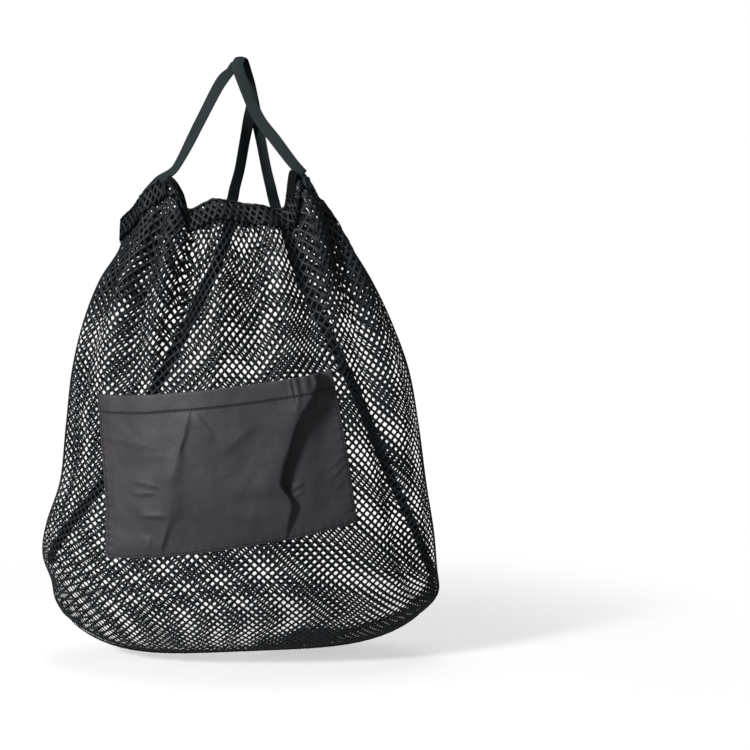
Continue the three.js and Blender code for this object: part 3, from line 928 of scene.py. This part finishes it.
def flat_bar(width, length, thick, step, cuts_across=0):
    """A flat strip laid out with rounded edges: x across it, y along it and z through it."""
    bar = bmesh.new()
    bmesh.ops.create_cube(bar, size=1, matrix=Matrix.Diagonal((width, length, thick, 1)))
    bmesh.ops.bevel(
        bar, geom=edges_over(bar, 1, length / 2), offset=thick * EDGE_ROUNDING, affect="EDGES",
        segments=2, profile=0.5, material=-1,
    )
    bmesh.ops.translate(bar, vec=(0, length / 2, 0), verts=bar.verts[:])
    cuts_along = round(length / step) - 1
    for axis, size, cuts in ((0, width, cuts_across), (1, length, cuts_along)):
        if cuts:
            wide = edges_over(bar, axis, size / 2)
            bmesh.ops.subdivide_edges(bar, edges=wide, cuts=cuts, use_grid_fill=True)
    return bar


# The webbing sags to both sides of the hook: how far half a webbing's width from its middle, at
# most how many times as far, and how far down the straps
HOOK_SAG = 1.5
HOOK_SAG_MOST = 5.5
HOOK_SAG_REACH = 16
HOOK_MIDDLE_X = 1
RIB_STEPS = 3
RIB_DEPTH = 0.14
WEBBING_CUTS = 3
LINE_STEPS = 8


def strap(node, narrowing, casing_run, free_rows):
    """A webbing strap along its way: rows of a middle point and the way that the face looks."""
    line = catmull_rom([*casing_run, *free_rows], LINE_STEPS)
    steps = np.linalg.norm(np.diff(line[:, :3], axis=0), axis=1)
    run = np.concatenate([[0], np.cumsum(steps)])
    length = run[-1]
    bar = flat_bar(WEBBING_WIDTH, length, WEBBING_THICK, RIB_PITCH / RIB_STEPS, WEBBING_CUTS)
    x, along, height = flat_points(bar).T

    def line_at(distance):
        return np.stack([np.interp(distance, run, column) for column in line.T], axis=1)

    middle, face = np.split(line_at(along), 2, axis=1)
    run_way = unit((line_at(along + 1) - line_at(along - 1))[:, :3])
    across = unit(np.cross(run_way, face))
    out = np.cross(across, run_way)
    rib = 1 + RIB_DEPTH * np.sin(2 * math.pi * along / RIB_PITCH)
    near_hook = np.exp(-((np.linalg.norm(middle, axis=1) / HOOK_SAG_REACH) ** 2))
    off_hook = (middle[:, 0] + across[:, 0] * x - HOOK_MIDDLE_X) * 2 / WEBBING_WIDTH
    exit_run = run[LINE_STEPS * len(casing_run)]
    narrow = 1 - narrowing * np.exp(-(((along - exit_run) / EXIT_REACH) ** 2))
    points = middle + across * (x * narrow)[:, None] + out * (height * rib)[:, None]
    points[:, 2] -= HOOK_SAG * near_hook * np.minimum(off_hook**2, HOOK_SAG_MOST)
    piece = made_piece(node + "_webbing", bar, points, WEBBING, "webbing", node)


# The straps' ways: x, y and z of the webbing's middle, and x, y and z of the way its face looks
LEFT_RUN = casing_rows(BACK_MIDDLE + STRAP_END_OFF, BACK_FOLD_ENDS[1])
RIGHT_RUN = casing_rows(BACK_MIDDLE - STRAP_END_OFF, BACK_FOLD_ENDS[0])
strap("strap_left", LEFT_NARROWING, LEFT_RUN, [
    (-61, -38, -99.5, -0.5, -1, 0.3),
    (-54.5, -35, -90, -0.5, -1, 0.3),
    (-35.5, -22.5, -53.5, -0.5, -1, 0.3),
    (-16, -7, -17, -0.2, -1, 0.2),
    *hook_rows(0, -5.5, 1),
    (5, 5, -16, 0, 1, 0),
    (11.5, 8, -36, 0, 1, 0.1),
    (7.8, 16, -58, -0.2, 1, 0.1),
    (3.5, 26, -80, -0.5, 1, 0.2),
    (-1.6, 37, -107, -0.5, 1, 0.2),
    (-6.7, 48, -126, -0.3, 1, 0.4),
    (-9, 58, -137, -0.1, 1, 0.6),
    *back_rows([
        (-0.04, 12, 16), (-0.13, 60, 16), (-0.28, 120, 12), (-0.45, 190, 7), (-0.62, 260, 4),
        (-0.78, 325, 3), (-0.9, 380, 3),
    ]),
])
strap("strap_right", RIGHT_NARROWING, RIGHT_RUN, [
    (60, -38, -103, 0.2, -1, 0.1),
    (54, -37.5, -96.5, 0.2, -1, 0.1),
    (48, -35, -89.5, 0.1, -1, 0.1),
    (34, -29, -71.5, 0, -1, 0.1),
    (19.5, -22.5, -53.5, 0, -1, 0.1),
    (6.5, -15, -26, 0, -1, 0.2),
    *hook_rows(1, -1.5, 4),
    (7.5, 8, -15, 0, 1, 0),
    (12, 14.5, -38, 0, 1, 0.1),
    (15.5, 24, -58, 0.2, 1, 0.1),
    (19.5, 31, -81, 0.5, 1, 0.2),
    (24, 40, -107, 0.5, 1, 0.2),
    (28, 48, -126, 0.3, 1, 0.4),
    (30, 58, -137, 0.2, 1, 0.6),
    *back_rows([
        (0.3, 12, 16), (0.33, 60, 16), (0.42, 120, 12), (0.54, 190, 7), (0.66, 260, 4),
        (0.79, 325, 3), (0.9, 380, 3),
    ]),
])


# The pocket's big fold runs from its top right corner down to its lower edge. On the left of it
# the cloth bulges, with some extra lift, and hangs over a little; on the right it lies flat.
BIG_FOLD = columns(
    ("v", "u", "width", "overhang", "lift"),
    (
        (0, 0.94, 6, 0, 0), (0.1, 0.895, 5, 2, 0.6), (0.18, 0.845, 4.5, 4, 1.6),
        (0.26, 0.8, 4, 5, 2.4), (0.35, 0.77, 4, 5, 3), (0.43, 0.748, 4, 5, 3.6),
        (0.54, 0.714, 4, 5, 4.8), (0.65, 0.702, 4, 4, 5.2), (0.72, 0.735, 4, 1, 4.5),
        (0.78, 0.735, 4, 4, 4), (0.9, 0.72, 3.5, 2, 2.5), (1, 0.715, 3, 0, 0),
    ),
)
LIFT_REACH = 30
OVERHANG_PLACE = 0.35
OVERHANG_SHARPNESS = 5
# The bulge rises from the left edge and the lower edge, and falls to the right corner
LEFT_RISE = 0.4
LEFT_RISE_POWER = 0.9
UPRIGHT_POWER = 1.1
CORNER_FALL = 0.11
GATHER_SMOOTHING = 0.7
# The cloth lies close along its seams, and slack and crumpled further in
SEAM_HOLD = 14
SLACK = 1.2
CRUMPLE_HEIGHT = 0.9
# Waves of the crumpled cloth: each one's share, and how long it is and how it sways both ways
CRUMPLES = columns(
    ("share", "x_reach", "x_sway", "x_bend", "y_reach", "y_sway", "y_bend"),
    ((0.8, 17, 1.3, 23, 19, 1.7, 31), (0.2, 6.1, 2, 13, 7.3, 2, 11)),
)
# A softer fold on the left of the bulge
SOFT_FOLD = columns(
    ("v", "u", "half_width", "depth"),
    (
        (0.1, 0.4, 3, 0), (0.16, 0.39, 3, 1.5), (0.26, 0.37, 2.5, 2.2), (0.34, 0.348, 2.5, 3.2),
        (0.42, 0.33, 6, 2.6), (0.52, 0.3, 9, 3), (0.72, 0.275, 9, 2.6), (0.8, 0.262, 4, 2.6),
        (0.86, 0.25, 2.5, 3), (1, 0.22, 2, 2),
    ),
)
# Short creases, each from one place to another in shares of the width and height. The cloth
# rises gently to a crease and drops on the side that lies right of the way along it.
SHORT_CREASES = columns(
    ("u", "v", "end_u", "end_v", "half_width", "depth"),
    (
        (0.29, 0.735, 0.13, 0.715, 3, 2.2), (0.24, 0.59, 0.115, 0.59, 2.5, 1.4),
        (0.265, 0.56, 0.135, 0.51, 2.5, 1.3), (0.3, 0.37, 0.16, 0.37, 4, 0.7),
        (0.3, 0.33, 0, 0.24, 5, 1), (0.41, 0.1, 0.49, 0.32, 3, 1.6),
        (0.66, 0.22, 0.48, 0.41, 6, 1.8), (0.19, 0.84, 0.175, 1, 2.5, 1.5),
        (1.02, 0.52, 0.89, 0.62, 2.5, 1), (1.02, 0.57, 0.9, 0.68, 2.5, 1),
        (1.02, 0.66, 0.92, 0.75, 2.5, 1), (0.81, 0.65, 0.73, 0.7, 2, 1.4),
        (0.81, 0.7, 0.73, 0.745, 2, 1.2), (0.6, 0.7, 0.55, 1, 7, 1.2),
        (0.66, 0.5, 0.63, 0.95, 9, 1.4), (0.83, 0.09, 0.8, 0.24, 2.5, 1.3),
        (0.87, 0.09, 0.85, 0.25, 2.5, 1.5), (0.905, 0.07, 0.885, 0.22, 2, 1.3),
    ),
)
# How gently the cloth rises to a crease, in half widths, and how fast creases come and go
RISE_REACH = 2.5
CREASE_FADE = 3
# Gathers of the hem by the pocket's right corner: from where to where they come and go across it,
# where they die out down it, their pitch and height, and how they wander
HEM_GATHER = {
    "start": (0.77, 0.82), "end": (0.97, 0.97 - 1 / 30), "down": (0.16, 0.06),
    "pitch": 7.5, "height": 0.7, "wander": 1.5, "wander_reach": 5,
}
# Puckers along the seams
SEAM_PUCKER = {"pitch": 9, "height": 0.25, "reach": 4.5, "inset": 4, "wander_reach": 7}


def at_height(fold, v):
    """A fold's columns read at a share of the pocket's height."""
    v = np.clip(v, fold["v"][0], fold["v"][-1])
    return {name: smooth_reading(fold["v"], column, v) for name, column in fold.items()}


def crease_profile(off):
    """A gentle rise to a crease and a drop beyond it; off counts half widths."""
    rise, drop = np.exp(np.minimum(off, 0) / RISE_REACH), np.exp(-np.maximum(off, 0) ** 2)
    return np.where(off < 0, rise, drop)


def crumple(x, down):
    """Small uneven waves of a limp cloth, from -1 to 1."""
    height = np.zeros_like(x)
    for share, x_reach, x_sway, x_bend, y_reach, y_sway, y_bend in zip(*CRUMPLES.values()):
        sideways = np.sin(x / x_reach + x_sway * np.sin(down / x_bend))
        downwards = np.sin(down / y_reach + y_sway * np.sin(x / y_bend))
        height = height + share * sideways * downwards
    return height


def short_creases(x, down):
    height = np.zeros_like(x)
    for u0, v0, u1, v1, half_width, depth in zip(*SHORT_CREASES.values()):
        way_x, way_y = (u1 - u0) * POCKET_WIDTH, (v1 - v0) * POCKET_HEIGHT
        off_x, off_y = x - u0 * POCKET_WIDTH, down - v0 * POCKET_HEIGHT
        length = math.hypot(way_x, way_y)
        way = (off_x * way_x + off_y * way_y) / length**2
        off = (off_x * way_y - off_y * way_x) / length / half_width
        fade = smooth_step(way * CREASE_FADE) * smooth_step((1 - way) * CREASE_FADE)
        height = height + depth * fade * crease_profile(off)
    return height


def hem_gathers(u, v):
    x = u * POCKET_WIDTH
    within = share_between(HEM_GATHER["start"], u) * share_between(HEM_GATHER["end"], u)
    wander = HEM_GATHER["wander"] * np.sin(x / HEM_GATHER["wander_reach"])
    wave = np.sin(2 * np.pi * x / HEM_GATHER["pitch"] + wander)
    return HEM_GATHER["height"] * within * share_between(HEM_GATHER["down"], v) * (1 + wave)


def seam_puckers(x, down):
    from_side, from_end = np.minimum(x, POCKET_WIDTH - x), POCKET_HEIGHT - down
    height = np.zeros_like(x)
    for from_seam, run in ((from_side, down), (from_end, x)):
        near = np.exp(-(((from_seam - SEAM_PUCKER["inset"]) / SEAM_PUCKER["reach"]) ** 2))
        wander = np.sin(run / SEAM_PUCKER["wander_reach"])
        wave = np.sin(2 * np.pi * run / SEAM_PUCKER["pitch"] + wander)
        height = height + SEAM_PUCKER["height"] * near * (1 + wave)
    return height


def pocket_height(u, v):
    """The pocket's cloth: how far it stands off the bag, how far it is pushed to the right, and
    how much it smooths the bag's gathers.
    """
    big, soft = at_height(BIG_FOLD, v), at_height(SOFT_FOLD, v)
    x, down = u * POCKET_WIDTH, v * POCKET_HEIGHT
    left_rise = np.sin(np.pi / 2 * np.clip(u / LEFT_RISE, 0, 1)) ** LEFT_RISE_POWER
    upright = np.clip(np.sin(np.pi * (1 - v) / 2), 0, 1) ** UPRIGHT_POWER
    off_big = x - big["u"] * POCKET_WIDTH
    bulge = POCKET_BULGE * left_rise * upright * smooth_step((1 - u) / CORNER_FALL)
    bulge = bulge + big["lift"] * np.exp(-((off_big / LIFT_REACH) ** 2))
    on_left = 1 - smooth_step(off_big / big["width"] + 0.5)
    off_lip = off_big / big["width"] + OVERHANG_PLACE
    push = big["overhang"] * np.exp(-(off_lip**2) * OVERHANG_SHARPNESS)
    off_soft = (x - soft["u"] * POCKET_WIDTH) / soft["half_width"]
    edge = np.minimum(np.minimum(x, POCKET_WIDTH - x), POCKET_HEIGHT - down)
    free = smooth_step(edge / SEAM_HOLD)
    folds = soft["depth"] * crease_profile(off_soft) + short_creases(x, down)
    slack = SLACK + CRUMPLE_HEIGHT * crumple(x, down)
    height = bulge * on_left + (folds + slack) * free + hem_gathers(u, v) + seam_puckers(x, down)
    return height, push, GATHER_SMOOTHING * on_left * free


def pocket_point(u, v, height):
    """A point of the pocket: u from its left edge to the right, v from its mouth down."""
    off, push, smoothing = pocket_height(u, v)
    pushed = u + push / POCKET_WIDTH
    place = {}
    for name, (top_left, top_right, low_left, low_right) in POCKET_CORNERS.items():
        top = top_left + (top_right - top_left) * pushed
        low = low_left + (low_right - low_left) * pushed
        place[name] = top + (low - top) * v
    across, along = place["across"], place["along"]
    rise = fold_height(FRONT, across, along) * (1 - smoothing) + POCKET_STANDOFF + off + height
    return over_sack(FRONT, across, along, rise)


NYLON_STEP = 1.1


def flat_slab(top, bottom, thick):
    """A closed slab of the pocket's cloth laid out flat, from the distance top to bottom."""
    slab = bmesh.new()
    half = POCKET_WIDTH / 2
    faces_across, faces_down = (round(size / NYLON_STEP) for size in (POCKET_WIDTH, bottom - top))
    add_grid(slab, -half, half, top, bottom, faces_across, faces_down)
    copy = bmesh.ops.extrude_face_region(slab, geom=slab.faces[:])["geom"]
    raised = [element for element in copy if isinstance(element, bmesh.types.BMVert)]
    bmesh.ops.translate(slab, vec=(0, 0, thick), verts=raised)
    return slab


# The hem's lower lip lies over the panel and thins out, and its top is a rounded fold
HEM_LIP = 0.018
HEM_LIP_GAP = 0.05
HEM_LIP_BEFORE = 0.6
HEM_LIP_THINNING = 0.75
HEM_LIP_ROUND = 2.5
HEM_TOP_LEAST = 0.25
PANEL_GAP = 0.003


def pocket_cloth(node, slab, x, down, height):
    points = pocket_point(x / POCKET_WIDTH + 0.5, down / POCKET_HEIGHT, height)
    piece = made_piece(node + "_cloth", slab, points, NYLON, "nylon", node)


def pocket_hem():
    lip_end = (POCKET_HEM_SHARE + HEM_LIP) * POCKET_HEIGHT
    half = POCKET_HEM_THICK / 2
    slab = flat_slab(0, lip_end, POCKET_HEM_THICK)
    x, down, height = flat_points(slab).T
    outer = height > half
    round_top = np.sqrt(1 - (1 - np.clip(down / POCKET_HEM_THICK, 0, 1)) ** 2)
    height = half + (height - half) * np.maximum(round_top, HEM_TOP_LEAST)
    over_panel = down > POCKET_HEM_SHARE * POCKET_HEIGHT - HEM_LIP_BEFORE
    at_end = share_between((lip_end - HEM_LIP_ROUND, lip_end), down)
    lip = np.where(outer, POCKET_HEM_THICK - HEM_LIP_THINNING * at_end, NYLON_THICK + HEM_LIP_GAP)
    pocket_cloth("pocket_hem", slab, x, down, np.where(over_panel, lip, height))


def pocket_panel():
    slab = flat_slab((POCKET_HEM_SHARE + PANEL_GAP) * POCKET_HEIGHT, POCKET_HEIGHT, NYLON_THICK)
    pocket_cloth("pocket_panel", slab, *flat_points(slab).T)


pocket_hem()
pocket_panel()


STITCH_LENGTH = 2.1
STITCH_SPACING = 3
STITCH_HALF_THICK = 0.42
STITCH_RISE = 0.2
# Rows of stitches on the pocket: from one place to another, and the height of the cloth there
POCKET_STITCHES = columns(
    ("u", "v", "end_u", "end_v", "height"),
    (
        (0.01, 0.101, 0.99, 0.101, POCKET_HEM_THICK),
        (0.013, 0.12, 0.013, 0.985, NYLON_THICK),
        (0.987, 0.12, 0.987, 0.985, NYLON_THICK),
        (0.015, 0.982, 0.985, 0.982, NYLON_THICK),
    ),
)


def pocket_stitches():
    sewing = bmesh.new()
    for u0, v0, u1, v1, height in zip(*POCKET_STITCHES.values()):
        length = math.hypot((u1 - u0) * POCKET_WIDTH, (v1 - v0) * POCKET_HEIGHT)
        count = round(length / STITCH_SPACING)
        share = (np.arange(count) + 0.5) / count
        half = STITCH_LENGTH / 2 / length
        heights = np.full(count, height + STITCH_RISE)
        start, end = (
            pocket_point(u0 + (u1 - u0) * s, v0 + (v1 - v0) * s, heights)
            for s in (share - half, share + half)
        )
        for a, b in zip(start, end):
            way = Vector(b - a)
            size = Matrix.Diagonal((STITCH_HALF_THICK, STITCH_HALF_THICK, way.length / 2, 1))
            place = Matrix.Translation(Vector((a + b) / 2))
            turn = way.to_track_quat("Z", "Y").to_matrix().to_4x4()
            bmesh.ops.create_icosphere(sewing, subdivisions=1, radius=1, matrix=place @ turn @ size)
    # The stitches take the near-black thread finish: painted shade of their dents.
    made_piece("pocket_stitching", sewing, flat_points(sewing), PAINTED_SHADE_THREAD, "nylon")


pocket_stitches()


# The bottom seam thins out at its ends and is puckered
WELT_STEP = 2
WELT_THINNING = 0.8
WELT_THINNING_POWER = 12
WELT_PUCKERS = columns(("size", "pitch"), ((0.35, 5.3), (0.25, 13)))


def bottom_seam():
    """The raised seam along the bottom: the cut edges of both panels, sewn and bound."""
    length = CLOTH_WIDTH * SEAM_WELT_REACH
    bar = flat_bar(SEAM_WELT_WIDTH, length, SEAM_WELT_DROP, WELT_STEP)
    x, along, height = flat_points(bar).T
    across = (along / length * 2 - 1) * SEAM_WELT_REACH
    cloth_end = np.full_like(across, CLOTH_LENGTH)
    middle = plain_sack(FRONT, across, cloth_end)
    down = outward(plain_sack, FRONT, across, cloth_end)
    middle[:, 1], down[:, 1] = 0, 0
    down = unit(down)
    thinning = 1 - WELT_THINNING * np.abs(across / SEAM_WELT_REACH) ** WELT_THINNING_POWER
    drop = SEAM_GAP + (SEAM_WELT_DROP / 2 - height) * thinning
    points = middle + down * drop[:, None]
    for size, pitch in zip(*WELT_PUCKERS.values()):
        x = x + size * np.sin(along * 2 * math.pi / pitch)
    points[:, 1] += x * thinning
    made_piece("bottom_seam_welt", bar, points, MESH, "mesh", "bottom_seam")


bottom_seam()


# The paper under the bag: its gap to the bag in millimetres, and in metres its half width and from
# where to where it fades out; and how much of it shows
FLOOR_GAP = 4
FLOOR_REACH = 0.95
FLOOR_FADE = (0.6, 0.82)
FLOOR_SHOWN = 0.45
BACKDROP_LIGHT = 0.09
# The lights: place, what they look at, size in metres and watts
LIGHTS = {
    "key_light": ((-1.75, -1.95, 0.75), (0, 0, -0.3), 0.6, 128),
    "fill_light": ((1.5, -1.9, 0.5), (0, 0, -0.3), 1.4, 9),
    "floor_light": ((0, 0.4, 2.6), (0, 0.2, -0.57), 2, 40),
}


def floor_finish():
    """White paper under the bag that fades into the white backdrop."""
    finish = Finish("floor_paper")
    grain = finish.noise(scale=3, detail=3)
    length = {"operation": "LENGTH"}
    away = finish.node("ShaderNodeVectorMath", length, {0: finish.object_place()}, "Value")
    sockets = {"Value": away, "From Min": FLOOR_FADE[0], "From Max": FLOOR_FADE[1]}
    sockets.update({"To Min": FLOOR_SHOWN, "To Max": 0})
    fade = finish.node("ShaderNodeMapRange", {"interpolation_type": "SMOOTHSTEP"}, sockets)
    return finish.surface(
        Base_Color=finish.colour(grain), Roughness=0.85 + grain * 0.1, Alpha=fade
    )


def add_floor():
    sheet = bmesh.new()
    place = Matrix.Translation((0, 0, cad_box[0].z - FLOOR_GAP * MM))
    bmesh.ops.create_grid(sheet, x_segments=1, y_segments=1, size=FLOOR_REACH, matrix=place)
    mesh_object("floor", sheet, floor_finish())


def add_light(name, place, aim, size, watts):
    data = bpy.data.lights.new(name, "AREA")
    data.shape, data.size, data.energy = "DISK", size, watts
    light = new_object(name, data)
    light.location = place
    light.rotation_euler = (Vector(place) - Vector(aim)).to_track_quat("Z", "Y").to_euler()


def add_world():
    """A white backdrop that lights the bag less than it shows."""
    world = bpy.data.worlds.new("studio")
    world.use_nodes = True
    nodes, links = world.node_tree.nodes, world.node_tree.links
    seen, choice = nodes.new("ShaderNodeLightPath"), nodes.new("ShaderNodeMixShader")
    links.new(seen.outputs["Is Camera Ray"], choice.inputs["Fac"])
    for slot, strength in ((1, BACKDROP_LIGHT), (2, 1)):
        backdrop = nodes.new("ShaderNodeBackground")
        backdrop.inputs["Color"].default_value = (1, 1, 1, 1)
        backdrop.inputs["Strength"].default_value = strength
        links.new(backdrop.outputs["Background"], choice.inputs[slot])
    links.new(choice.outputs["Shader"], nodes["World Output"].inputs["Surface"])
    bpy.context.scene.world = world


add_world()
add_floor()
for light_name, settings in LIGHTS.items():
    add_light(light_name, *settings)
bpy.context.scene.view_settings.view_transform = "Standard"
